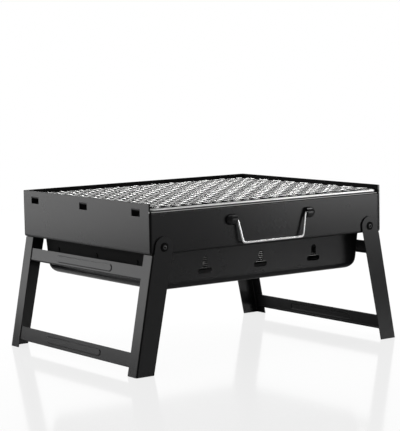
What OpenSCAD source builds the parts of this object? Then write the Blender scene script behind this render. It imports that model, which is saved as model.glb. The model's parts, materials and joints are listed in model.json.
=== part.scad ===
// Portable folding charcoal grill: a sheet-steel body that stands on two folding leg frames,
// with an ember pan hung in it, a charcoal grate, a woven cooking grille and two wire handles.
// +X runs along the body, the front faces -Y, +Z is up. The origin is on the floor under the middle.

/* [Body] */
// Length over the end panels
body_len = 350; // [340:1:360]
// Depth over the front and back panels
body_wid = 279; // [274:1:284]
// Height of the top edge of the end and back panels above the floor
body_top = 196; // [194:1:200]
// Height of the front panel's ledge, which carries the grille
front_top = 187; // [186:0.5:188]
// Height of the body's lower edge above the floor
body_bottom = 137.5; // [137:0.5:138]
// Thickness of the body's sheet steel
sheet = 0.8; // [0.7:0.1:1]
// Outside radius of the body's bends
bend_r = 3; // [2:0.5:3.5]
// Depth of the bottom ledges of the front and back panels
long_ledge = 17.5; // [15:0.5:17.5]
// Depth of the bottom ledges of the end panels
end_ledge = 14.5; // [13:0.5:14.5]
// Depth of the front panel's top ledge
top_ledge = 8; // [7:0.5:9]
// Width of the corner flanges behind the end panels
corner_flange = 12; // [10:1:14]
// Depth of the folded hem along the top edges
hem = 6; // [5:0.5:6]

/* [Grille tabs] */
// Distance of the outer tabs from the middle of an end panel
tab_pitch = 112; // [105:1:115]
// Width of a tab's slot
slot_w = 17; // [14:0.5:18]
// Height of a tab's slot
slot_h = 9; // [7:0.5:9]
// Height of a slot's upper edge above the tab that is bent in from it
slot_rise = 2.3; // [1.5:0.1:2.5]
// Length of a tab
tab_len = 6.7; // [6:0.1:7]

/* [Ember pan] */
// Length of the pan at its rim, without the rim flange
pan_len = 318; // [314:1:318]
// Depth of the pan at its rim, without the rim flange
pan_wid = 242; // [236:1:242]
// Height of the pan's underside above the floor
pan_bottom = 91.5; // [91.5:0.5:96]
// Radius of the pan's upright corners
pan_corner_r = 8; // [6:0.5:12]
// Radius of the lower edge below the pan's long walls
pan_edge_r = 10; // [8:0.5:14]
// Radius of the lower edge below the pan's end walls, which the folding rails pass
pan_end_edge_r = 15.5; // [15.5:0.5:18]
// How far the pan's walls lean in from rim to lower edge
pan_draft = 2.5; // [2.5:0.5:4]
// Distance between neighbouring air vents
vent_pitch = 83; // [70:1:90]
// Width of a vent's foot
vent_w = 20; // [16:1:24]
// Height of a vent's foot
vent_foot = 6.6; // [5:0.2:8]
// Width of a vent's stem
vent_stem = 7.4; // [6:0.2:9]
// Height of the top of the vents above the floor
vent_top = 127; // [122:1:130]

/* [Charcoal grate] */
// Number of long wires
grate_wires = 15; // [9:2:17]
// Distance of the outermost wires from the middle
grate_reach = 105; // [98:1:106]
// Diameter of the long wires
grate_wire_d = 2.5; // [2:0.1:3]

/* [Cooking grille] */
// Diameter of the frame wire
frame_wire_d = 2.8; // [2.4:0.1:3]
// Diameter of the woven wires
mesh_wire_d = 1.5; // [1.2:0.1:1.5]
// Number of meshes along the grille
mesh_x = 24; // [20:2:24]
// Number of meshes across the grille
mesh_y = 19; // [15:2:19]

/* [Legs] */
// Angle between a standing leg and the vertical
splay = 10.8; // [10:0.1:11]
// Distance of the leg pivots from the middle
pivot_x = 156.3; // [155:0.1:157]
// Height of the leg pivots above the floor
pivot_z = 145.7; // [145:0.1:146.5]
// Thickness of the legs' sheet steel
leg_sheet = 1; // [0.9:0.1:1]
// Distance from the pivot to the outer face of the leg's end strip
strip_out = 14.35; // [14:0.05:14.6]
// How far the side flange reaches in from the leg's axis at the foot; it widens evenly up to the lug
flange_in = 9.4; // [9:0.1:11]
// Radius of the lug around the pivot
lug_r = 12.3; // [11:0.1:13]
// Width of the leg's end strip
strip_w = 18; // [16:0.5:20]
// Distance from the pivot down to the top of the end strip
strip_top = 11.5; // [11.4:0.1:14]

/* [Rails] */
// Distance from the pivot down to the upper rail
upper_rail_at = 25; // [25:0.1:27]
// Height of the upper rail
upper_rail_h = 15.8; // [14:0.2:16]
// Distance from the pivot down to the lower rail
lower_rail_at = 124; // [115:1:125]
// Height of the lower rail
lower_rail_h = 17.3; // [15:0.1:18]
// Length of the pressed bead in a rail
bead_len = 122; // [80:1:150]

/* [Handles] */
// Height of the handles' hinge line above the floor
handle_z = 170; // [168:0.5:172]
// Diameter of the handle wire
handle_d = 3; // [2.6:0.1:3]
// Length of a handle's grip
handle_grip = 91; // [80:1:95]
// Distance between the upper ends of a handle's arms
handle_span = 103; // [100:1:104]
// Distance from the hinge line to the grip
handle_drop = 28; // [24:0.5:29]
// Radius of the pressed bosses that hold the handle's ends
boss_r = 6.5; // [6.5:0.1:7]
// Distance of the bosses from the middle
boss_x = 60.5; // [60:0.5:62]

/* [Hidden] */
$fn = 48;
over = 1; // how far a cut passes the surface it opens
play = 0.3; // gap between pieces that move apart
fit_play = 0.05; // radial clearance of a leg on its rivet
weld = 0.1; // how far welded wires sink into each other
coat = "#2c2c2e";
bright = "#d4d5d6";
half_l = body_len / 2;
half_w = body_wid / 2;
end_in = half_l - sheet; // inner face of an end panel
bend_x = end_in - bend_r; // middle of the upright corner bends
bend_y = half_w - bend_r;
bend_z = body_bottom + bend_r; // middle of the bottom bends
ledge_top = body_bottom + sheet;

pan_hx = pan_len / 2;
pan_hy = pan_wid / 2;
rim_z = ledge_top + play; // underside of the pan's rim
rim_hx = end_in - 6.7;
rim_hy = half_w - top_ledge - 0.6; // the rising pan passes the front panel's top ledge
rim_corner_r = 20;
pan_lean = atan2(pan_draft, rim_z - pan_bottom - pan_end_edge_r);
floor_corner_r = 2; // corner radius of the flat floor
vent_foot_z = 110;
pan_rivets = [-87, 0, 87];
pan_rivet_z = 124;
pan_rivet_r = 1.6;
bracket_w = 2 * (pan_hy - pan_draft - pan_corner_r) - 2; // as wide as the flat of the wall
bracket_drop = 17; // from the rivets down to the bracket's lip
bracket_up = 6; // from the rivets up to the bracket's upper edge
bracket_lip = 10;
bracket_bend = 1.6;

grate_z = pan_rivet_z - bracket_drop * cos(pan_lean) + bracket_lip * sin(pan_lean) + sheet + play + grate_wire_d / 2;
grate_hx = pan_hx - pan_draft - 2.2;
grate_bar_d = 3;
grate_bar_x = [-120, -40, 40, 120];
grate_bar_hy = grate_reach + 3;

frame_hx = half_l - 2 * sheet - play - 0.1 - frame_wire_d / 2; // the frame just passes the hems
frame_hy = half_w - 2 * sheet - play - 0.1 - frame_wire_d / 2;
frame_corner_r = 5;
frame_z = front_top + play + frame_wire_d / 2;
mesh_r = mesh_wire_d / 2;
mesh_z = frame_z + frame_wire_d / 2 + mesh_r - weld;
crimp = mesh_r + 0.06; // height of a crimp above the mesh's middle plane
step_x = 2 * frame_hx / mesh_x;
step_y = 2 * frame_hy / mesh_y;
mesh_over = 0.9; // how far a wire's end passes the middle of the frame wire

leg_y = half_w + 2; // outer face of the legs' side flanges
leg_bend = 2;
leg_reach = 165; // the legs are made longer than this object needs and cut level with the floor
rivet_r = 3;
rivet_head_r = 4.2;
rivet_seat_r = 5.4; // round seat pressed into the lug for the rivet's head
rivet_seat = 0.5;
rivet_head_h = 1.8;
rivet_edge_h = 0.5;
rivet_eye_r = 1.25;
rivet_tail_r = 4.5;
washer_r = 5.5;
rail_hy = 133;
rail_out = strip_out - leg_sheet; // outer face of a rail, which lies behind the strips
rail_lip = 3;
bead_w = 9;
bead_h = 0.8;
bead_draft = 1.2;

handle_y = half_w + 2.8; // hinge line of a handle
handle_tilt = 5.1; // a hanging handle leans this far off the panel
handle_bend = 4;
boss_mouth = 7; // from a boss's middle to its open side
handle_end = boss_x + 3;

// ---- helpers ----

module at_left() mirror([1, 0, 0]) children();
module at_back() mirror([0, 1, 0]) children();

module rounded_rect(size, r) {
    square([size.x - 2 * r, size.y], center = true);
    square([size.x, size.y - 2 * r], center = true);
    for (x = [-1, 1], y = [-1, 1])
        translate([x * (size.x / 2 - r), y * (size.y / 2 - r)]) circle(r);
}

// Section of a sheet's right-angle bend: a quarter ring about the origin, in the corner left below it
module bend_section(t, r) {
    intersection() {
        difference() {
            circle(r);
            circle(r - t);
        }
        translate([-r, -r]) square(r);
    }
}

// Section of a sheet with its web on the Y axis and a lip bent towards +X at the bottom
module angle_section(web, lip, t, r) {
    translate([r, r]) bend_section(t, r);
    translate([0, r]) square([t, web - r]);
    translate([r, 0]) square([lip - r, t]);
}

// Puts a section drawn in XY on its edge: its X becomes Y, its Y becomes Z, and it runs along X
module along_x(length) translate([-length / 2, 0, 0]) rotate([90, 0, 90]) linear_extrude(length) children();

// Puts a section drawn in XY upright: its Y becomes Z, and it runs along Y
module along_y(length) translate([0, length / 2, 0]) rotate([90, 0, 0]) linear_extrude(length) children();

function heading(v) = atan2(v.y, v.x);
function turn(a, b, c) =
    let (d = heading(c - b) - heading(b - a)) d > 180 ? d - 360 : d < -180 ? d + 360 : d;

// Round wire bent to a rectangle about the origin, with its corners rounded to bend
module wire_rectangle(hx, hy, d, bend) {
    for (side = [-1, 1]) {
        translate([bend - hx, side * hy, 0]) rotate([0, 90, 0]) cylinder(d = d, h = 2 * (hx - bend));
        translate([side * hx, hy - bend, 0]) rotate([90, 0, 0]) cylinder(d = d, h = 2 * (hy - bend));
    }
    for (x = [0, 1], y = [0, 1]) mirror([x, 0, 0]) mirror([0, y, 0]) translate([hx - bend, hy - bend, 0])
        rotate_extrude(angle = 90) translate([bend, 0]) circle(d = d);
}

// Closed skin over a row of rings that have the same number of points
module loft(rings) {
    sides = len(rings[0]);
    last = len(rings) - 1;
    start = [for (k = [0 : sides - 1]) k];
    walls = [for (i = [0 : last - 1], k = [0 : sides - 1])
        let (a = i * sides + k, b = i * sides + (k + 1) % sides) [a, a + sides, b + sides, b]];
    end = [for (k = [sides - 1 : -1 : 0]) last * sides + k];
    polyhedron([for (ring = rings) each ring], concat([start], walls, [end]), convexity = 10);
}

function rounded_corner(a, b, c, bend, steps) =
    let (t = turn(a, b, c), side = sign(t), come = heading(b - a), back = bend * tan(abs(t) / 2),
         middle = b - back * [cos(come), sin(come)] + side * bend * [-sin(come), cos(come)])
    [for (k = [0 : steps]) middle + side * bend * [sin(come + t * k / steps), -cos(come + t * k / steps)]];

function rounded_path(pts, bend, steps) = concat(
    [pts[0]],
    [for (i = [1 : len(pts) - 2]) each rounded_corner(pts[i - 1], pts[i], pts[i + 1], bend, steps)],
    [pts[len(pts) - 1]]);

// Round wire of diameter d along a path in the XY plane
module swept_wire(path, d, sides = 16) {
    last = len(path) - 1;
    loft([for (i = [0 : last])
        let (a = heading(path[min(i + 1, last)] - path[max(i - 1, 0)]))
        [for (k = [0 : sides - 1])
            let (reach = cos(360 * k / sides) * d / 2)
            [path[i].x - sin(a) * reach, path[i].y + cos(a) * reach, sin(360 * k / sides) * d / 2]]]);
}

// ---- body ----

module corner_return(top) {
    translate([bend_x, -bend_y, bend_z]) {
        linear_extrude(top - bend_z) rotate([0, 0, 90]) bend_section(sheet, bend_r);
        translate([bend_r - sheet, 0, 0]) cube([sheet, corner_flange - bend_r, top - bend_z]);
    }
}

module pivot_holes() {
    for (x = [-pivot_x, pivot_x])
        translate([x, -half_w + sheet + over, pivot_z]) rotate([90, 0, 0])
            cylinder(r = rivet_r, h = sheet + 2 * over);
}

module boss_form(r, length) {
    sphere(r);
    rotate([0, -90, 0]) cylinder(r = r, h = length);
}

// Half-round hood pressed out of the panel, open towards the handle
module handle_boss() {
    translate([boss_x, -half_w, handle_z]) difference() {
        boss_form(boss_r, boss_mouth);
        boss_form(boss_r - sheet, boss_mouth + over);
        translate([-boss_mouth - over, 0, -boss_r - over])
            cube([boss_mouth + boss_r + 2 * over, boss_r + over, 2 * (boss_r + over)]);
    }
}

module boss_hole() {
    translate([boss_x, -half_w + sheet + over, handle_z]) rotate([90, 0, 0]) linear_extrude(sheet + over) {
        circle(boss_r - sheet);
        translate([-boss_mouth, -boss_r + sheet]) square([boss_mouth, 2 * (boss_r - sheet)]);
    }
}

// Web, bottom ledge and corner flanges, shared by the front and back panels
module long_panel(web_top, flange_top) {
    difference() {
        union() {
            translate([0, -half_w, body_bottom]) along_x(2 * bend_x)
                angle_section(web_top - body_bottom, long_ledge, sheet, bend_r);
            corner_return(flange_top);
            at_left() corner_return(flange_top);
            handle_boss();
            at_left() handle_boss();
        }
        pivot_holes();
        boss_hole();
        at_left() boss_hole();
    }
}

module front_panel() color(coat) {
    top_bend = front_top - bend_r;
    long_panel(top_bend, top_bend);
    translate([0, -bend_y, top_bend]) along_x(2 * bend_x) mirror([0, 1]) bend_section(sheet, bend_r);
    translate([-bend_x, -bend_y, front_top - sheet]) cube([2 * bend_x, top_ledge - bend_r, sheet]);
}

module hem_section() {
    translate([0, -hem + sheet]) square([2 * sheet, hem - sheet]);
    translate([sheet, 0]) circle(sheet);
}

module back_panel() color(coat) at_back() {
    long_panel(body_top - hem, body_top - hem - play);
    translate([0, -half_w, body_top - sheet]) along_x(2 * (end_in - sheet - play)) hem_section();
}

module grille_tab() {
    fold = slot_rise + sheet;
    width = slot_w - 2 * play;
    translate([end_in + sheet - fold, 0, front_top + slot_rise]) {
        along_y(width) mirror([1, 0]) bend_section(sheet, fold);
        translate([-(tab_len - fold), -width / 2, -fold]) cube([tab_len - fold, width, sheet]);
    }
}

module right_end_panel() color(coat) {
    difference() {
        union() {
            translate([end_in, -half_w, bend_z]) cube([sheet, body_wid, body_top - sheet - bend_z]);
            translate([half_l, 0, body_top - sheet]) along_y(body_wid) mirror([1, 0]) hem_section();
            translate([half_l - bend_r, 0, bend_z]) along_y(body_wid)
                mirror([1, 0]) bend_section(sheet, bend_r);
            translate([half_l - end_ledge, -half_w + long_ledge + play, body_bottom])
                cube([end_ledge - bend_r, body_wid - 2 * (long_ledge + play), sheet]);
        }
        for (y = [-tab_pitch, 0, tab_pitch])
            translate([end_in - over, y - slot_w / 2, front_top + slot_rise - slot_h])
                cube([sheet + 2 * over, slot_w, slot_h]);
    }
    for (y = [-tab_pitch, 0, tab_pitch]) translate([0, y, 0]) grille_tab();
}

module left_end_panel() at_left() right_end_panel();

// ---- leg pivots ----

module at_pivot() translate([pivot_x, -half_w, pivot_z]) rotate([90, 0, 0]) children();

module pivot_washer_front_right() color(coat) at_pivot() difference() {
    cylinder(r = washer_r, h = leg_y - half_w - leg_sheet - play);
    translate([0, 0, -over]) cylinder(r = rivet_r, h = 4 * over);
}

module pivot_rivet_front_right() color(coat) at_pivot() {
    head_at = leg_y - half_w - rivet_seat + play;
    cap = rivet_head_h - rivet_edge_h;
    cap_r = (rivet_head_r * rivet_head_r + cap * cap) / (2 * cap);
    difference() {
        union() {
            translate([0, 0, -sheet - 1]) cylinder(r = rivet_tail_r, h = 1);
            translate([0, 0, -sheet]) cylinder(r = rivet_r, h = head_at + sheet);
            translate([0, 0, head_at]) intersection() {
                cylinder(r = rivet_head_r, h = rivet_head_h);
                translate([0, 0, rivet_head_h - cap_r]) sphere(cap_r);
            }
        }
        translate([0, 0, head_at - over]) cylinder(r = rivet_eye_r, h = rivet_head_h + 2 * over);
    }
}

module pivot_washer_front_left() at_left() pivot_washer_front_right();
module pivot_washer_back_right() at_back() pivot_washer_front_right();
module pivot_washer_back_left() at_back() pivot_washer_front_left();
module pivot_rivet_front_left() at_left() pivot_rivet_front_right();
module pivot_rivet_back_right() at_back() pivot_rivet_front_right();
module pivot_rivet_back_left() at_back() pivot_rivet_front_left();

// ---- ember pan ----

// Points of a rounded rectangle of half sizes hx, hy at height z
function rounded_ring(hx, hy, r, z) = [for (k = [0 : 3], a = [0 : 11.25 : 90])
    let (side = [k == 0 || k == 3 ? 1 : -1, k < 2 ? 1 : -1])
    [side.x * (hx - r) + r * cos(90 * k + a), side.y * (hy - r) + r * sin(90 * k + a), z]];

// How far the middle of a lower edge's arc of radius r lies in from the rim's outline
function edge_inset(r) = (r + (rim_z - pan_bottom - r) * sin(pan_lean)) / cos(pan_lean);

// Inset at height z of a wall that leans in and turns under through a lower edge of radius r,
// measured on its outer face or a depth of k inside it
function wall_inset(z, r, k) =
    let (arc_r = r - k, below = pan_bottom + r - z)
    below < arc_r * sin(pan_lean)
        ? (rim_z - z) * tan(pan_lean) + k / cos(pan_lean)
        : edge_inset(r) - sqrt(max(0, arc_r * arc_r - below * below));

// The drawn form's outline at height z: its corners tighten towards the floor
function pan_ring(z, k) =
    let (in_x = wall_inset(z, pan_end_edge_r, k), in_y = wall_inset(z, pan_edge_r, k),
         r = pan_corner_r + (floor_corner_r - pan_corner_r) * in_x / edge_inset(pan_end_edge_r))
    rounded_ring(pan_hx - in_x, pan_hy - in_y, r, z);

// Solid form of the pan, inset all round by k, from its floor up to top
module basin(k, top) {
    steps = 9;
    loft(concat(
        [for (i = [0 : steps])
            pan_ring(pan_bottom + pan_end_edge_r - (pan_end_edge_r - k) * sin(90 + (pan_lean - 90) * i / steps), k)],
        [pan_ring(top, k)]));
}

module inverted_t() {
    blend = 1.5;
    translate([0, vent_foot_z]) rounded_rect([vent_w, vent_foot], vent_foot / 2 - 0.01);
    translate([-vent_stem / 2, vent_foot_z]) square([vent_stem, vent_top - vent_foot_z - vent_stem / 2]);
    translate([0, vent_top - vent_stem / 2]) circle(d = vent_stem);
    for (side = [0, 1]) mirror([side, 0]) translate([vent_stem / 2, vent_foot_z + vent_foot / 2]) difference() {
        square(blend);
        translate([blend, blend]) circle(blend);
    }
}

// A frame on the pan's right wall at the height of its rivets: Z runs up the wall's outer face
module at_pan_wall(y = 0)
    translate([pan_hx - (rim_z - pan_rivet_z) * tan(pan_lean), y, pan_rivet_z])
        rotate([0, pan_lean, 0]) children();

module ember_pan() color(coat) {
    difference() {
        union() {
            basin(0, rim_z);
            translate([0, 0, rim_z]) linear_extrude(sheet) rounded_rect([2 * rim_hx, 2 * rim_hy], rim_corner_r);
        }
        basin(sheet, rim_z + sheet + over);
        for (side = [0, 1], x = [-vent_pitch, 0, vent_pitch])
            mirror([0, side, 0]) translate([x, -pan_hy + 8, 0])
                rotate([90, 0, 0]) linear_extrude(10) inverted_t();
        for (side = [0, 1], y = pan_rivets)
            mirror([side, 0, 0]) at_pan_wall(y) translate([-sheet - over, 0, 0]) rotate([0, 90, 0])
                cylinder(r = pan_rivet_r, h = sheet + 2 * over);
    }
}

module pan_rivets_right() color(coat) for (y = pan_rivets) at_pan_wall(y) rotate([0, 90, 0]) {
    cylinder(r = 3, h = 1);
    translate([0, 0, -2 * sheet]) cylinder(r = pan_rivet_r, h = 2 * sheet);
    translate([0, 0, -2 * sheet - 1]) cylinder(r = 3, h = 1);
}

module grate_bracket_right() color(coat) difference() {
    at_pan_wall() translate([-sheet, 0, -bracket_drop]) along_y(bracket_w)
        mirror([1, 0]) angle_section(bracket_drop + bracket_up, bracket_lip, sheet, bracket_bend);
    for (y = pan_rivets) at_pan_wall(y) translate([-2 * sheet - over, 0, 0]) rotate([0, 90, 0])
        cylinder(r = pan_rivet_r, h = sheet + 2 * over);
}

module pan_rivets_left() at_left() pan_rivets_right();
module grate_bracket_left() at_left() grate_bracket_right();

// ---- charcoal grate ----

module charcoal_grate_wires() color(coat) for (i = [0 : grate_wires - 1])
    translate([-grate_hx, grate_reach * (2 * i / (grate_wires - 1) - 1), grate_z])
        rotate([0, 90, 0]) cylinder(d = grate_wire_d, h = 2 * grate_hx);

module charcoal_grate_bars() color(coat) for (x = grate_bar_x)
    translate([x, grate_bar_hy, grate_z - (grate_wire_d + grate_bar_d) / 2 + weld])
        rotate([90, 0, 0]) cylinder(d = grate_bar_d, h = 2 * grate_bar_hy);

// ---- cooking grille ----

module grille_frame() color(bright) translate([0, 0, frame_z])
    wire_rectangle(frame_hx, frame_hy, frame_wire_d, frame_corner_r);

// Six-sided wire along X through places [x, z], with flats above and below
module crimped_wire(places) {
    corner_r = mesh_r / cos(30);
    loft([for (p = places) [for (k = [0 : 60 : 300]) [p.x, corner_r * cos(k), p.y + corner_r * sin(k)]]]);
}

// One wire's crests and troughs: it passes over and under the cells - 1 wires that it crosses
function weave(reach, step, cells, first) = concat(
    [[-reach - mesh_over, 0]],
    [for (i = [1 : cells - 1]) [-reach + i * step, (i + first) % 2 == 0 ? crimp : -crimp]],
    [[reach + mesh_over, 0]]);

module grille_long_wires() color(bright) for (j = [1 : mesh_y - 1])
    translate([0, -frame_hy + j * step_y, mesh_z]) crimped_wire(weave(frame_hx, step_x, mesh_x, j));

module grille_cross_wires() color(bright) for (i = [1 : mesh_x - 1])
    translate([-frame_hx + i * step_x, 0, mesh_z]) rotate([0, 0, 90])
        crimped_wire(weave(frame_hy, step_y, mesh_y, i + 1));

// ---- leg frames ----

// The right leg frame's own frame: Z points up along the leg, X out of the end strip
module at_leg() translate([pivot_x, 0, pivot_z]) rotate([0, -splay, 0]) children();

module right_front_leg() color(coat) {
    run = leg_reach - strip_top;
    bend_b = strip_out - leg_bend;
    difference() {
        at_leg() {
            translate([0, -leg_y + leg_sheet, 0]) rotate([90, 0, 0]) linear_extrude(leg_sheet) difference() {
                union() {
                    circle(lug_r);
                    polygon([[lug_r, 0], [bend_b, -strip_top], [bend_b, -leg_reach],
                             [-flange_in, -leg_reach], [-lug_r, 0]]);
                }
                circle(rivet_r + fit_play);
            }
            translate([bend_b, -leg_y + leg_bend, -leg_reach]) {
                linear_extrude(run) rotate([0, 0, 90]) bend_section(leg_sheet, leg_bend);
                translate([leg_bend - leg_sheet, 0, 0]) cube([leg_sheet, strip_w - leg_bend, run]);
            }
        }
        at_leg() translate([0, -leg_y + rivet_seat, 0]) rotate([90, 0, 0]) cylinder(r = rivet_seat_r, h = over);
        translate([pivot_x, -half_w - strip_w * 2, -40]) cube([80, strip_w * 4, 40]);
    }
}

// Stadium-shaped form with sloping sides, lying along Y and rising towards +X
module bead_form() {
    straight = bead_len - bead_w;
    rotate([90, 0, 90]) {
        for (side = [-1, 1]) translate([side * straight / 2, 0, 0])
            cylinder(r1 = bead_w / 2, r2 = bead_w / 2 - bead_draft, h = bead_h);
        rotate([90, 0, 90]) translate([0, 0, -straight / 2]) linear_extrude(straight)
            polygon([[-bead_w / 2, 0], [bead_w / 2, 0],
                     [bead_w / 2 - bead_draft, bead_h], [-bead_w / 2 + bead_draft, bead_h]]);
    }
}

// Rail between the front and back legs, with a lip along its lower edge and a pressed bead
module rail(from, height) color(coat) at_leg() translate([rail_out, 0, -from - height]) difference() {
    union() {
        along_y(2 * rail_hy) mirror([1, 0]) angle_section(height, rail_lip, leg_sheet, leg_bend);
        translate([0, 0, height / 2]) bead_form();
    }
    translate([-leg_sheet, 0, height / 2]) bead_form();
}

module right_upper_rail() rail(upper_rail_at, upper_rail_h);
module right_lower_rail() rail(lower_rail_at, lower_rail_h);
module right_back_leg() at_back() right_front_leg();
module left_front_leg() at_left() right_front_leg();
module left_back_leg() at_left() right_back_leg();
module left_upper_rail() at_left() right_upper_rail();
module left_lower_rail() at_left() right_lower_rail();

// ---- handles ----

module front_handle() color(bright) translate([0, -handle_y, handle_z]) rotate([90 - handle_tilt, 0, 0])
    swept_wire(rounded_path([[-handle_end, 0], [-handle_span / 2, 0], [-handle_grip / 2, -handle_drop],
        [handle_grip / 2, -handle_drop], [handle_span / 2, 0], [handle_end, 0]], handle_bend, 6), handle_d);

module back_handle() at_back() front_handle();

front_panel();
back_panel();
left_end_panel();
right_end_panel();
pivot_washer_front_left();
pivot_washer_front_right();
pivot_washer_back_left();
pivot_washer_back_right();
pivot_rivet_front_left();
pivot_rivet_front_right();
pivot_rivet_back_left();
pivot_rivet_back_right();
ember_pan();
grate_bracket_left();
grate_bracket_right();
pan_rivets_left();
pan_rivets_right();
charcoal_grate_wires();
charcoal_grate_bars();
grille_frame();
grille_long_wires();
grille_cross_wires();
left_front_leg();
left_back_leg();
left_upper_rail();
left_lower_rail();
right_front_leg();
right_back_leg();
right_upper_rail();
right_lower_rail();
front_handle();
back_handle();
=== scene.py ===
import json
import math

import bmesh
import bpy
from mathutils import Matrix, Vector


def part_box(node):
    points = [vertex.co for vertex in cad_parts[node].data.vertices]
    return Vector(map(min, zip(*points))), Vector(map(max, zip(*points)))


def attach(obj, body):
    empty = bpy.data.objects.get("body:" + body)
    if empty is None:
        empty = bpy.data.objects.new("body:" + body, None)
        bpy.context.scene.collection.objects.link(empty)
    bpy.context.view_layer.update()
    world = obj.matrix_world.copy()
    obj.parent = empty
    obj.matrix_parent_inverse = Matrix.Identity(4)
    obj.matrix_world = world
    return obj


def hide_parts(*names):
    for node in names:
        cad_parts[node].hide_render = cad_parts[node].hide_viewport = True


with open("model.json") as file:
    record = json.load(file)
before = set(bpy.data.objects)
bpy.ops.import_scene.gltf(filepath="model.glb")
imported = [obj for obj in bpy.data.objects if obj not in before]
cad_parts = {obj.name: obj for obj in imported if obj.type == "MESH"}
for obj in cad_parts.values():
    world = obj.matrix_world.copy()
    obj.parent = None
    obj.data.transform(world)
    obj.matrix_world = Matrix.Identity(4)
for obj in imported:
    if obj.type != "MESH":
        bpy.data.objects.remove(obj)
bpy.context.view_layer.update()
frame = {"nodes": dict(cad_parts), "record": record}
nodes = frame["nodes"]
print("stage: frame loaded")

mm = 0.001


def newGroup(name, inputs, outputs):
    tree = bpy.data.node_groups.new(name, "ShaderNodeTree")
    for label, kind, value in inputs:
        socket = tree.interface.new_socket(label, in_out="INPUT", socket_type=kind)
        if value is not None:
            socket.default_value = value
    for label, kind in outputs:
        tree.interface.new_socket(label, in_out="OUTPUT", socket_type=kind)
    return tree, tree.nodes.new("NodeGroupInput"), tree.nodes.new("NodeGroupOutput")


def addNode(tree, kind, **values):
    node = tree.nodes.new(kind)
    for key, value in values.items():
        if key in node.inputs:
            node.inputs[key].default_value = value
        else:
            setattr(node, key, value)
    return node


def mathNode(tree, operation, first, second=0):
    node = addNode(tree, "ShaderNodeMath", operation=operation)
    for socket, value in zip(node.inputs, (first, second)):
        if isinstance(value, (int, float)):
            socket.default_value = value
        else:
            tree.links.new(value, socket)
    return node.outputs[0]


def over(tree, value, limit):
    return mathNode(tree, "GREATER_THAN", value, limit)


def under(tree, value, limit):
    return mathNode(tree, "LESS_THAN", value, limit)


def product(tree, *factors):
    result = factors[0]
    for factor in factors[1:]:
        result = mathNode(tree, "MULTIPLY", result, factor)
    return result


def mixColours(tree, share, first, second):
    # sockets 6 and 7 are the two colours, socket 2 is the mixed one
    node = addNode(tree, "ShaderNodeMix", data_type="RGBA")
    tree.links.new(share, node.inputs["Factor"])
    for socket, value in ((node.inputs[6], first), (node.inputs[7], second)):
        if isinstance(value, tuple):
            socket.default_value = value
        else:
            tree.links.new(value, socket)
    return node.outputs[2]


def swingRoughness(tree, noise, entry):
    # the noise moves the roughness up and down by half of Spread
    swing = mathNode(tree, "SUBTRACT", noise.outputs["Fac"], 0.5)
    swing = mathNode(tree, "MULTIPLY", swing, entry.outputs["Spread"])
    return mathNode(tree, "ADD", swing, entry.outputs["Roughness"])


def buildSurfaceGrain():
    # fine orange peel over broad cloudy patches: shared by every coat
    tree, entry, leave = newGroup(
        "surfaceGrain",
        [("Vector", "NodeSocketVector", None), ("Light", "NodeSocketColor", (0.5, 0.5, 0.5, 1)),
         ("Dark", "NodeSocketColor", (0.4, 0.4, 0.4, 1)), ("Roughness", "NodeSocketFloat", 0.3),
         ("Spread", "NodeSocketFloat", 0.05), ("Peel Scale", "NodeSocketFloat", 650),
         ("Cloud Scale", "NodeSocketFloat", 18)],
        [("Color", "NodeSocketColor"), ("Roughness", "NodeSocketFloat"), ("Height", "NodeSocketFloat")])
    cloud = addNode(tree, "ShaderNodeTexNoise", Detail=4.0, Roughness=0.6)
    peel = addNode(tree, "ShaderNodeTexNoise", Detail=2.0, Roughness=0.5)
    for noise, scale in ((cloud, "Cloud Scale"), (peel, "Peel Scale")):
        tree.links.new(entry.outputs["Vector"], noise.inputs["Vector"])
        tree.links.new(entry.outputs[scale], noise.inputs["Scale"])
    tint = mixColours(tree, cloud.outputs["Fac"], entry.outputs["Dark"], entry.outputs["Light"])
    tree.links.new(tint, leave.inputs["Color"])
    tree.links.new(swingRoughness(tree, cloud, entry), leave.inputs["Roughness"])
    tree.links.new(peel.outputs["Fac"], leave.inputs["Height"])
    return tree


def buildWireGrain():
    # drawn and plated wire: faint clouds and a fine speckle
    tree, entry, leave = newGroup(
        "wireGrain",
        [("Vector", "NodeSocketVector", None), ("Bright", "NodeSocketColor", (0.8, 0.8, 0.8, 1)),
         ("Dull", "NodeSocketColor", (0.6, 0.6, 0.6, 1)), ("Roughness", "NodeSocketFloat", 0.15),
         ("Spread", "NodeSocketFloat", 0.1)],
        [("Color", "NodeSocketColor"), ("Roughness", "NodeSocketFloat"), ("Height", "NodeSocketFloat")])
    cloud = addNode(tree, "ShaderNodeTexNoise", Scale=90.0, Detail=3.0, Roughness=0.6)
    speck = addNode(tree, "ShaderNodeTexNoise", Scale=1400.0, Detail=1.0)
    for noise in (cloud, speck):
        tree.links.new(entry.outputs["Vector"], noise.inputs["Vector"])
    tint = mixColours(tree, cloud.outputs["Fac"], entry.outputs["Dull"], entry.outputs["Bright"])
    tree.links.new(tint, leave.inputs["Color"])
    tree.links.new(swingRoughness(tree, speck, entry), leave.inputs["Roughness"])
    tree.links.new(speck.outputs["Fac"], leave.inputs["Height"])
    return tree


surfaceGrain = buildSurfaceGrain()
wireGrain = buildWireGrain()


def newMaterial(name):
    material = bpy.data.materials.new(name)
    material.use_nodes = True
    tree = material.node_tree
    shader = tree.nodes["Principled BSDF"]
    coordinates = addNode(tree, "ShaderNodeTexCoord")
    return material, tree, shader, coordinates.outputs["Object"]


def splitVector(tree, vector):
    apart = addNode(tree, "ShaderNodeSeparateXYZ")
    tree.links.new(vector, apart.inputs["Vector"])
    return apart.outputs


def placeGroup(tree, group, vector, **values):
    node = addNode(tree, "ShaderNodeGroup", node_tree=group, **values)
    tree.links.new(vector, node.inputs["Vector"])
    return node


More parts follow.
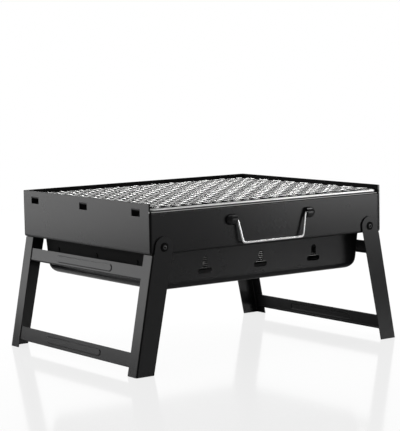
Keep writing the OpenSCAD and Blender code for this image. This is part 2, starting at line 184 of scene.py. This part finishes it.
def joinShader(tree, group, shader, strength, distance):
    bump = addNode(tree, "ShaderNodeBump", Strength=strength, Distance=distance)
    tree.links.new(group.outputs["Height"], bump.inputs["Height"])
    tree.links.new(group.outputs["Color"], shader.inputs["Base Color"])
    tree.links.new(group.outputs["Roughness"], shader.inputs["Roughness"])
    tree.links.new(bump.outputs["Normal"], shader.inputs["Normal"])


bodyCoat = {
    "colour": (0.012, 0.012, 0.013, 1),
    "dark": (0.008, 0.008, 0.0085, 1),
    "roughness": 0.27,
    "spread": 0.03,
    "peel": 0.015,
    # the colour painted as shade on the inner faces and the left end's cut edges
    "soot": (0.003, 0.003, 0.003, 1),
    # the colour painted as a highlight on the front panel's upper bend and the right end's cut edge
    "paintedHighlight": (0.5, 0.5, 0.49, 1),
    "skin": 0.7 * mm,               # the painted shade on the inner faces starts this far in from the outer faces
    "cut": (2.1 * mm, 0.9 * mm),    # the end panels' cut edges: in from their outer face and from their ends
    "bendIn": 1.6 * mm,             # the stretch of the front panel's upper bend that takes the painted highlight
    "bendDown": 1.3 * mm,
    "bendUp": 0.2 * mm,
    "cutShare": 0.5,                # how much of the painted highlight colour the right cut edge takes
}


def innerPanelShade(tree, spot):
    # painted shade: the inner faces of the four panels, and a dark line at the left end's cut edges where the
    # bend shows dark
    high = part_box("right_end_panel")[1]
    within = product(tree, under(tree, spot["across"], high.x - bodyCoat["skin"]),
                     under(tree, spot["along"], high.y - bodyCoat["skin"]))
    joint = product(tree, under(tree, spot["x"], bodyCoat["cut"][0] - high.x),
                    over(tree, spot["along"], high.y - bodyCoat["cut"][1]))
    return mathNode(tree, "MAXIMUM", within, joint)


def paintedHighlightRim(tree, spot):
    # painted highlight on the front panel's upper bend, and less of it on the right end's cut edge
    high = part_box("right_end_panel")[1]
    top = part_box("front_panel")[1].z
    outside = under(tree, spot["y"], bodyCoat["bendIn"] - high.y)
    bend = product(tree, outside, over(tree, spot["height"], top - bodyCoat["bendDown"]),
                   under(tree, spot["height"], top + bodyCoat["bendUp"]))
    edge = product(tree, outside, over(tree, spot["x"], high.x - bodyCoat["cut"][0]), bodyCoat["cutShare"])
    return mathNode(tree, "MAXIMUM", bend, edge)


panCoat = {
    "colour": (0.012, 0.012, 0.013, 1),
    "dark": (0.008, 0.008, 0.0085, 1),
    "roughness": 0.25,
    "spread": 0.03,
    "peel": 0.015,
    # the colour painted as shade inside the pan and on the end walls under the body
    "soot": (0.003, 0.003, 0.003, 1),
    "inset": (8.9 * mm, 10.3 * mm),       # from the rim flange's edge to the inside of the walls' top
    "slope": 0.0757,                      # how far the walls lean in for each unit of depth
    "edge": 13 * mm,                      # height of the rounded lower edge
    "floorInset": (18.2 * mm, 13 * mm),   # from the inside of the walls' top to the flat floor
    "floorSkin": 0.4 * mm,
    "covered": 17.5 * mm,   # in from the flange's edge and up from the floor: beyond it the end walls take the painted shade
}


def panInsideShade(tree, spot):
    # painted shade: the pan's inside walls and floor, and the upper end walls under the body
    low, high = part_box("ember_pan")
    wallX = high.x - panCoat["inset"][0]
    wallY = high.y - panCoat["inset"][1]
    # between the sloping walls, down to their rounded lower edges
    depth = mathNode(tree, "SUBTRACT", high.z, spot["height"])
    drawn = mathNode(tree, "MULTIPLY", depth, panCoat["slope"])
    walls = product(tree, under(tree, mathNode(tree, "ADD", spot["across"], drawn), wallX),
                    under(tree, mathNode(tree, "ADD", spot["along"], drawn), wallY),
                    over(tree, spot["height"], low.z + panCoat["edge"]))
    # over the floor
    floor = product(tree, under(tree, spot["across"], wallX - panCoat["floorInset"][0]),
                    under(tree, spot["along"], wallY - panCoat["floorInset"][1]),
                    over(tree, spot["height"], low.z + panCoat["floorSkin"]))
    # the upper part of the end walls, which the body shades
    covered = product(tree, over(tree, spot["across"], high.x - panCoat["covered"]),
                      over(tree, spot["height"], low.z + panCoat["covered"]))
    return mathNode(tree, "MAXIMUM", mathNode(tree, "MAXIMUM", walls, floor), covered)


def fromPivot(tree, spot):
    # offsets across and up from the legs' pivot, and the distance
    low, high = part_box("pivot_washer_front_right")
    aside = mathNode(tree, "SUBTRACT", spot["across"], (low.x + high.x) / 2)
    above = mathNode(tree, "SUBTRACT", spot["height"], (low.z + high.z) / 2)
    squares = mathNode(tree, "ADD", product(tree, aside, aside), product(tree, above, above))
    return aside, above, mathNode(tree, "SQRT", squares)


legCoat = {
    "colour": (0.012, 0.012, 0.013, 1),
    "dark": (0.008, 0.008, 0.0085, 1),
    "roughness": 0.29,
    "spread": 0.03,
    "peel": 0.02,
    # the colour painted as shade on the leg's outer bend and round the rivet
    "soot": (0.002, 0.002, 0.002, 1),
    "splay": math.radians(10.8),
    "strip": 14.35 * mm,            # from the pivot to the end strip's outer face
    "bend": 1.2 * mm,               # width of the painted shade at the bend
    "seat": (3.2 * mm, 5.2 * mm),   # painted shade ring round the rivet
}


def legBendShade(tree, spot):
    # painted shade on the outer bend where the end strip turns into the side flange, and on the rivet's seat
    aside, above, radius = fromPivot(tree, spot)
    leaned = mathNode(tree, "ADD", product(tree, aside, math.cos(legCoat["splay"])),
                      product(tree, above, math.sin(legCoat["splay"])))
    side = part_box("right_back_leg")[1].y
    bend = product(tree, over(tree, leaned, legCoat["strip"] - legCoat["bend"]),
                   over(tree, spot["along"], side - legCoat["bend"]))
    seat = product(tree, over(tree, radius, legCoat["seat"][0]), under(tree, radius, legCoat["seat"][1]))
    return mathNode(tree, "MAXIMUM", bend, seat)


rivetCoat = {
    "colour": (0.085, 0.085, 0.086, 1),
    "dark": (0.065, 0.065, 0.066, 1),
    "roughness": 0.26,
    "spread": 0.06,
    "peel": 0.04,
    # the colour painted as shade on the rim and eye of the rivet head
    "soot": (0.002, 0.002, 0.002, 1),
    "rim": 2.4 * mm,
    "eye": 1.2 * mm,
}


def rivetRimShade(tree, spot):
    # painted shade on the dark rim and eye of each pivot rivet's head
    radius = fromPivot(tree, spot)[2]
    return mathNode(tree, "ADD", over(tree, radius, rivetCoat["rim"]), under(tree, radius, rivetCoat["eye"]))


coats = {
    "bodyCoat": (bodyCoat, innerPanelShade),
    "legCoat": (legCoat, legBendShade),
    "panCoat": (panCoat, panInsideShade),
    "rivetCoat": (rivetCoat, rivetRimShade),
}
baked = {"ior": 1.38, "peelDepth": 0.1 * mm, "sootRoughness": 0.65}    # what the black coats share


def coatMaterial(name):
    look, sootyPlaces = coats[name]
    material, tree, shader, vector = newMaterial(name)
    grain = placeGroup(tree, surfaceGrain, vector, Light=look["colour"], Dark=look["dark"],
                       Roughness=look["roughness"], Spread=look["spread"])
    joinShader(tree, grain, shader, look["peel"], baked["peelDepth"])
    shader.inputs["IOR"].default_value = baked["ior"]
    # painted shade on inner faces, bends, hollows, seats and rivet eyes: black and flat where the mask is 1
    place = splitVector(tree, vector)
    spot = {"x": place["X"], "y": place["Y"], "height": place["Z"],
            "across": mathNode(tree, "ABSOLUTE", place["X"]),
            "along": mathNode(tree, "ABSOLUTE", place["Y"])}
    mask = sootyPlaces(tree, spot)
    colour = mixColours(tree, mask, grain.outputs["Color"], look["soot"])
    # the painted highlight line on the front bend and the right cut edge goes over the colour
    if "paintedHighlight" in look:
        colour = mixColours(tree, paintedHighlightRim(tree, spot), colour, look["paintedHighlight"])
    tree.links.new(colour, shader.inputs["Base Color"])
    flat = mathNode(tree, "MULTIPLY", mask, baked["sootRoughness"])
    tree.links.new(mathNode(tree, "ADD", grain.outputs["Roughness"], flat), shader.inputs["Roughness"])
    return material


wireFinishes = {
    "grilleChrome": {"colour": (0.97, 0.97, 0.96, 1), "dull": (0.86, 0.86, 0.85, 1),
                     "roughness": 0.14, "spread": 0.12, "draw": 0.10,
                     "shade": 0.1, "shadeFrom": 0.3, "shadeTo": 0.75},
    "frameChrome": {"colour": (0.95, 0.95, 0.94, 1), "dull": (0.86, 0.86, 0.85, 1),
                    "roughness": 0.32, "spread": 0.08, "draw": 0.04},
    # the grate's colour is darkened as painted shade inside the pan
    "grateChrome": {"colour": (0.22, 0.22, 0.21, 1), "dull": (0.12, 0.12, 0.12, 1),
                    "roughness": 0.24, "spread": 0.12, "draw": 0.12},
    "handleChrome": {"colour": (0.98, 0.98, 0.98, 1), "dull": (0.94, 0.94, 0.94, 1),
                     "roughness": 0.26, "spread": 0.06, "draw": 0.05},
}
drawDepth = 0.05 * mm


def chromeMaterial(name):
    look = wireFinishes[name]
    material, tree, shader, vector = newMaterial(name)
    grain = placeGroup(tree, wireGrain, vector, Bright=look["colour"], Dull=look["dull"],
                       Roughness=look["roughness"], Spread=look["spread"])
    joinShader(tree, grain, shader, look["draw"], drawDepth)
    shader.inputs["Metallic"].default_value = 1.0
    if "shade" in look:
        # painted shade: the wire under the crowns of the weave is darkened by its height, the crowns stay
        # bright
        low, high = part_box("grille_long_wires")
        rise = addNode(tree, "ShaderNodeMapRange")
        rise.inputs["From Min"].default_value = low.z + look["shadeFrom"] * (high.z - low.z)
        rise.inputs["From Max"].default_value = low.z + look["shadeTo"] * (high.z - low.z)
        rise.inputs["To Min"].default_value = look["shade"]
        tree.links.new(splitVector(tree, vector)["Z"], rise.inputs["Value"])
        tint = addNode(tree, "ShaderNodeVectorMath", operation="SCALE")
        tree.links.new(grain.outputs["Color"], tint.inputs[0])
        tree.links.new(rise.outputs["Result"], tint.inputs["Scale"])
        tree.links.new(tint.outputs["Vector"], shader.inputs["Base Color"])
    return material


materials = {name: coatMaterial(name) for name in coats}
materials.update({name: chromeMaterial(name) for name in wireFinishes})
slotNames = {"body_coat": "bodyCoat", "leg_coat": "legCoat", "pan_coat": "panCoat", "rivet_coat": "rivetCoat",
             "grille_chrome": "grilleChrome", "grate_chrome": "grateChrome", "handle_chrome": "handleChrome"}
slotOf = {part["node"]: part["material_slot"] for part in frame["record"]["subparts"]}
ownFinish = {"grille_frame": "frameChrome"}
for name, node in nodes.items():
    node.data.materials.clear()
    node.data.materials.append(materials[ownFinish.get(name, slotNames[slotOf[name]])])
print("stage: materials made")


# pressed and sheared sheet has a small round on every edge
softEdges = {
    "panel": 0.4 * mm,
    "leg": 0.35 * mm,
    "rail": 0.3 * mm,
    "segments": 2,
    "sharpest": math.radians(50),
}
for name, node in nodes.items():
    kind = name.split("_")[-1]
    if kind in ("panel", "leg", "rail"):
        soft = node.modifiers.new("softEdge", "BEVEL")
        soft.width = softEdges[kind]
        soft.segments = softEdges["segments"]
        soft.limit_method = "ANGLE"
        soft.angle_limit = softEdges["sharpest"]
        soft.harden_normals = True
print("stage: edges softened")


def finishPiece(name, bm, body, slot, replaced):
    mesh = bpy.data.meshes.new(name)
    bm.normal_update()
    bm.to_mesh(mesh)
    bm.free()
    mesh.materials.append(materials[slotNames[slot]])
    mesh.shade_smooth()
    piece = bpy.data.objects.new(name, mesh)
    bpy.context.scene.collection.objects.link(piece)
    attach(piece, body)
    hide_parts(*replaced)
    return piece


def startRing(bm, place, heading, radius, sides):
    turn = Vector((0, 0, 1)).rotation_difference(heading).to_matrix().to_4x4()
    ring = bmesh.ops.create_circle(bm, cap_ends=True, segments=sides, radius=radius,
                                   matrix=Matrix.Translation(place) @ turn)
    return list({edge for vert in ring["verts"] for edge in vert.link_edges})


def growRing(bm, ring, move):
    grown = bmesh.ops.extrude_edge_only(bm, edges=ring)["geom"]
    verts = {item for item in grown if isinstance(item, bmesh.types.BMVert)}
    bmesh.ops.translate(bm, vec=move, verts=list(verts))
    return [item for item in grown if isinstance(item, bmesh.types.BMEdge) and set(item.verts) <= verts]


def closeRing(bm, ring):
    bmesh.ops.edgeloop_fill(bm, edges=ring)
    bmesh.ops.recalc_face_normals(bm, faces=bm.faces[:])


weave = {
    "meshesX": 24,
    "meshesY": 19,
    "radius": 0.75 * mm,
    "crimp": 0.81 * mm,      # height of a crown over the mesh's middle
    "pastFrame": 0.9 * mm,   # the welded ends reach past the middle of the frame wire
    "sides": 10,
    "perMesh": 8,            # stretches of wire in one mesh
}


def crimpedWire(reach, step, cells, phase, height):
    # one woven wire along X at the height of the mesh, over and under the wires it crosses
    bm = bmesh.new()
    last = Vector((-reach - weave["pastFrame"], 0, height))
    ring = startRing(bm, last, Vector((1, 0, 0)), weave["radius"], weave["sides"])
    for index in range(1, cells * weave["perMesh"]):
        along = index / weave["perMesh"]
        swing = math.cos(math.pi * (along + phase))
        if along < 1 or along > cells - 1:
            # the last stretch at either end settles to the middle height
            crest = 1 if along < 1 else cells - 1
            fade = min(along, cells - along)
            swing = math.cos(math.pi * (crest + phase)) * (1 - math.cos(math.pi * fade)) / 2
        place = Vector((-reach + along * step, 0, height + weave["crimp"] * swing))
        ring = growRing(bm, ring, place - last)
        last = place
    ring = growRing(bm, ring, Vector((reach + weave["pastFrame"], 0, height)) - last)
    closeRing(bm, ring)
    return bm


def weaveWires(reach, step, cells, acrossReach, acrossStep, acrossCells, shift, turned):
    whole = bmesh.new()
    low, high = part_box("grille_long_wires")
    for phase in (0, 1):
        wire = crimpedWire(reach, step, cells, phase, (low.z + high.z) / 2)
        mesh = bpy.data.meshes.new("wire")
        wire.to_mesh(mesh)
        wire.free()
        for index in range(1, acrossCells):
            if (index + shift) % 2 != phase:
                continue
            known = set(whole.verts)
            whole.from_mesh(mesh)
            fresh = [vert for vert in whole.verts if vert not in known]
            bmesh.ops.translate(whole, vec=(0, -acrossReach + index * acrossStep, 0), verts=fresh)
        bpy.data.meshes.remove(mesh)
    if turned:
        quarter = Matrix.Rotation(math.pi / 2, 3, "Z")
        bmesh.ops.rotate(whole, cent=(0, 0, 0), matrix=quarter, verts=whole.verts[:])
    return whole


frameLow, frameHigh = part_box("grille_frame")
wireRadius = (frameHigh.z - frameLow.z) / 2
reachX = frameHigh.x - wireRadius
reachY = frameHigh.y - wireRadius
stepX = 2 * reachX / weave["meshesX"]
stepY = 2 * reachY / weave["meshesY"]
longWires = weaveWires(reachX, stepX, weave["meshesX"], reachY, stepY, weave["meshesY"], 0, False)
finishPiece("wovenLongWires", longWires, "cooking_grille", "grille_chrome", ["grille_long_wires"])
crossWires = weaveWires(reachY, stepY, weave["meshesY"], reachX, stepX, weave["meshesX"], 1, True)
finishPiece("wovenCrossWires", crossWires, "cooking_grille", "grille_chrome", ["grille_cross_wires"])
print("stage: grille woven")


sheet = {
    "size": 14,
    "drop": 0.05 * mm,
    "colour": (0.45, 0.45, 0.45, 1),
    "roughness": 0.10,
    "glow": 0.81,           # share of plain white under the grill, as the camera sees it
    "fade": (0.7, 1.8),     # from the first distance to the second the share rises to 1
    "light": 1.0,
}


def buildFloor():
    bm = bmesh.new()
    bmesh.ops.create_grid(bm, x_segments=1, y_segments=1, size=sheet["size"] / 2)
    mesh = bpy.data.meshes.new("floor")
    bm.to_mesh(mesh)
    bm.free()
    floor = bpy.data.objects.new("floor", mesh)
    floor.location.z = -sheet["drop"]
    bpy.context.scene.collection.objects.link(floor)
    material, tree, shader, vector = newMaterial("floorSheet")
    shader.inputs["Base Color"].default_value = sheet["colour"]
    shader.inputs["Roughness"].default_value = sheet["roughness"]
    # the camera sees the sheet mostly as bright paper, with the shadow and mirror image faint on it
    glow = addNode(tree, "ShaderNodeEmission", Strength=sheet["light"])
    path = addNode(tree, "ShaderNodeLightPath")
    away = addNode(tree, "ShaderNodeVectorMath", operation="LENGTH")
    tree.links.new(vector, away.inputs[0])
    fade = addNode(tree, "ShaderNodeMapRange")
    fade.inputs["From Min"].default_value, fade.inputs["From Max"].default_value = sheet["fade"]
    fade.inputs["To Min"].default_value = sheet["glow"]
    tree.links.new(away.outputs["Value"], fade.inputs["Value"])
    mix = addNode(tree, "ShaderNodeMixShader")
    tree.links.new(product(tree, path.outputs["Is Camera Ray"], fade.outputs["Result"]), mix.inputs["Fac"])
    tree.links.new(shader.outputs["BSDF"], mix.inputs[1])
    tree.links.new(glow.outputs["Emission"], mix.inputs[2])
    tree.links.new(mix.outputs["Shader"], tree.nodes["Material Output"].inputs["Surface"])
    mesh.materials.append(material)


air = {"camera": 1.0, "glossy": 0.12, "diffuse": 0.30}    # strength of the white world for each kind of ray


def buildWorld():
    world = bpy.data.worlds.new("studioAir")
    world.use_nodes = True
    tree = world.node_tree
    back = tree.nodes["Background"]
    back.inputs["Color"].default_value = (1, 1, 1, 1)
    path = addNode(tree, "ShaderNodeLightPath")
    seen = product(tree, path.outputs["Is Camera Ray"], air["camera"] - air["diffuse"])
    shine = product(tree, path.outputs["Is Glossy Ray"], air["glossy"] - air["diffuse"])
    total = mathNode(tree, "ADD", mathNode(tree, "ADD", seen, shine), air["diffuse"])
    tree.links.new(total, back.inputs["Strength"])
    bpy.context.scene.world = world


lampTarget = (0, 0, 0.12)
lamps = {
    "leftBox": {"place": (-0.86, 0.78, 0.50), "size": (1.0, 0.84), "radiance": 0.60},
    "leftFrontBox": {"place": (-0.95, 0.35, 0.36), "size": (0.6, 0.44), "radiance": 1.8},
    "leftLowBox": {"place": (-0.57, 0.56, 0.175), "size": (0.48, 0.24), "radiance": 2.0},
    "rightLowBox": {"place": (0.66, -0.73, 0.22), "size": (0.33, 0.25), "radiance": 4.9},
    "frontLowBox": {"place": (0.45, -1.15, 0.34), "size": (0.5, 0.4), "radiance": 1.1},
    "backBox": {"place": (1.5, 2.1, 0.56), "size": (2.6, 1.1), "radiance": 2.0},
    "topBox": {"place": (0.1, 0.4, 2.2), "size": (1.8, 1.6), "radiance": 1.0},
    "highRightBox": {"place": (1.15, -0.20, 1.35), "size": (0.45, 0.32), "radiance": 7.4},
    "highBackBox": {"place": (-0.15, 1.45, 1.15), "size": (0.5, 0.35), "radiance": 6.4},
}


def buildLamps():
    target = Vector(lampTarget)
    for name, box in lamps.items():
        light = bpy.data.lights.new(name, "AREA")
        light.shape = "RECTANGLE"
        light.size, light.size_y = box["size"]
        light.energy = box["radiance"] * math.pi * box["size"][0] * box["size"][1]
        lamp = bpy.data.objects.new(name, light)
        lamp.location = box["place"]
        lamp.rotation_euler = (target - lamp.location).to_track_quat("-Z", "Y").to_euler()
        lamp.visible_camera = False
        bpy.context.scene.collection.objects.link(lamp)


viewPoint = {
    "place": (-1.2279, -1.6765, 0.3709),
    "azimuth": math.radians(-36.177),
    "elevation": math.radians(5.783),
    "roll": math.radians(-1.075),
    "lens": 138.6,
    "sensor": 36,
    "clip": (0.05, 60),
}


def buildCamera():
    camera = bpy.data.cameras.new("camera")
    camera.lens = viewPoint["lens"]
    camera.sensor_width = viewPoint["sensor"]
    camera.clip_start, camera.clip_end = viewPoint["clip"]
    eye = bpy.data.objects.new("camera", camera)
    turn = (Matrix.Rotation(viewPoint["azimuth"], 4, "Z")
            @ Matrix.Rotation(math.pi / 2 - viewPoint["elevation"], 4, "X")
            @ Matrix.Rotation(viewPoint["roll"], 4, "Z"))
    eye.matrix_world = Matrix.Translation(viewPoint["place"]) @ turn
    bpy.context.scene.collection.objects.link(eye)
    bpy.context.scene.camera = eye


buildFloor()
buildWorld()
buildLamps()
buildCamera()
bpy.context.scene.view_settings.view_transform = "Standard"
print("stage: studio set")
